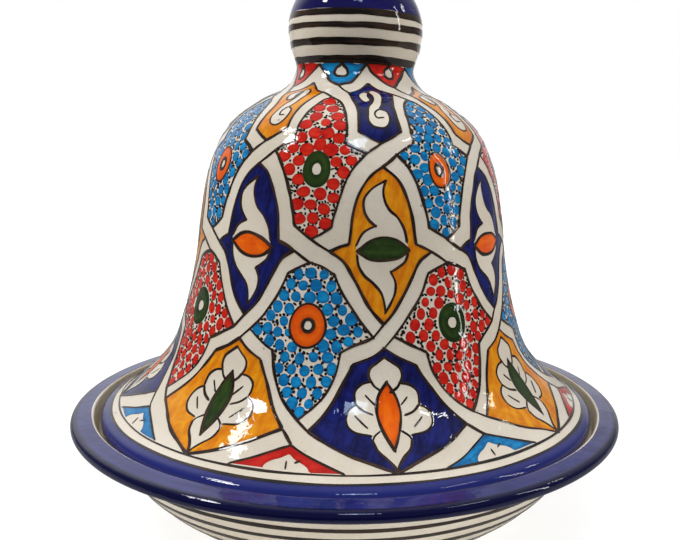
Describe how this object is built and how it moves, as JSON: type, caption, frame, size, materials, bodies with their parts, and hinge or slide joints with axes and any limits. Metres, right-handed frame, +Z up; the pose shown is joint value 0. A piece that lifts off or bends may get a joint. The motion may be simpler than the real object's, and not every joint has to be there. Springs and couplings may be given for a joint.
{
  "type": "tagine pot",
  "caption": "Glazed earthenware tagine: a shallow footed dish with a recessed gallery, and a tall waisted bell lid with a round hollow knob that lifts straight off it.",
  "frame": {"origin": "middle of the foot ring, on the table", "axes": "+Z up along the axis both pieces were turned about; the front, which faces -Y, is any side of the painted pattern"},
  "size_m": [0.302, 0.302, 0.294],
  "materials": {
    "dish_glaze": "gloss tin glaze with a cobalt rim",
    "lid_glaze": "gloss tin glaze with painted ornament"
  },
  "bodies": {
    "dish": {"dish": "dish_glaze"},
    "lid": {"lid": "lid_glaze"}
  },
  "joints": [
    {"name": "lid_lift", "type": "slide", "parent": "dish", "child": "lid", "axis": [0, 0, 1], "range_m": [0, 0.25]}
  ]
}
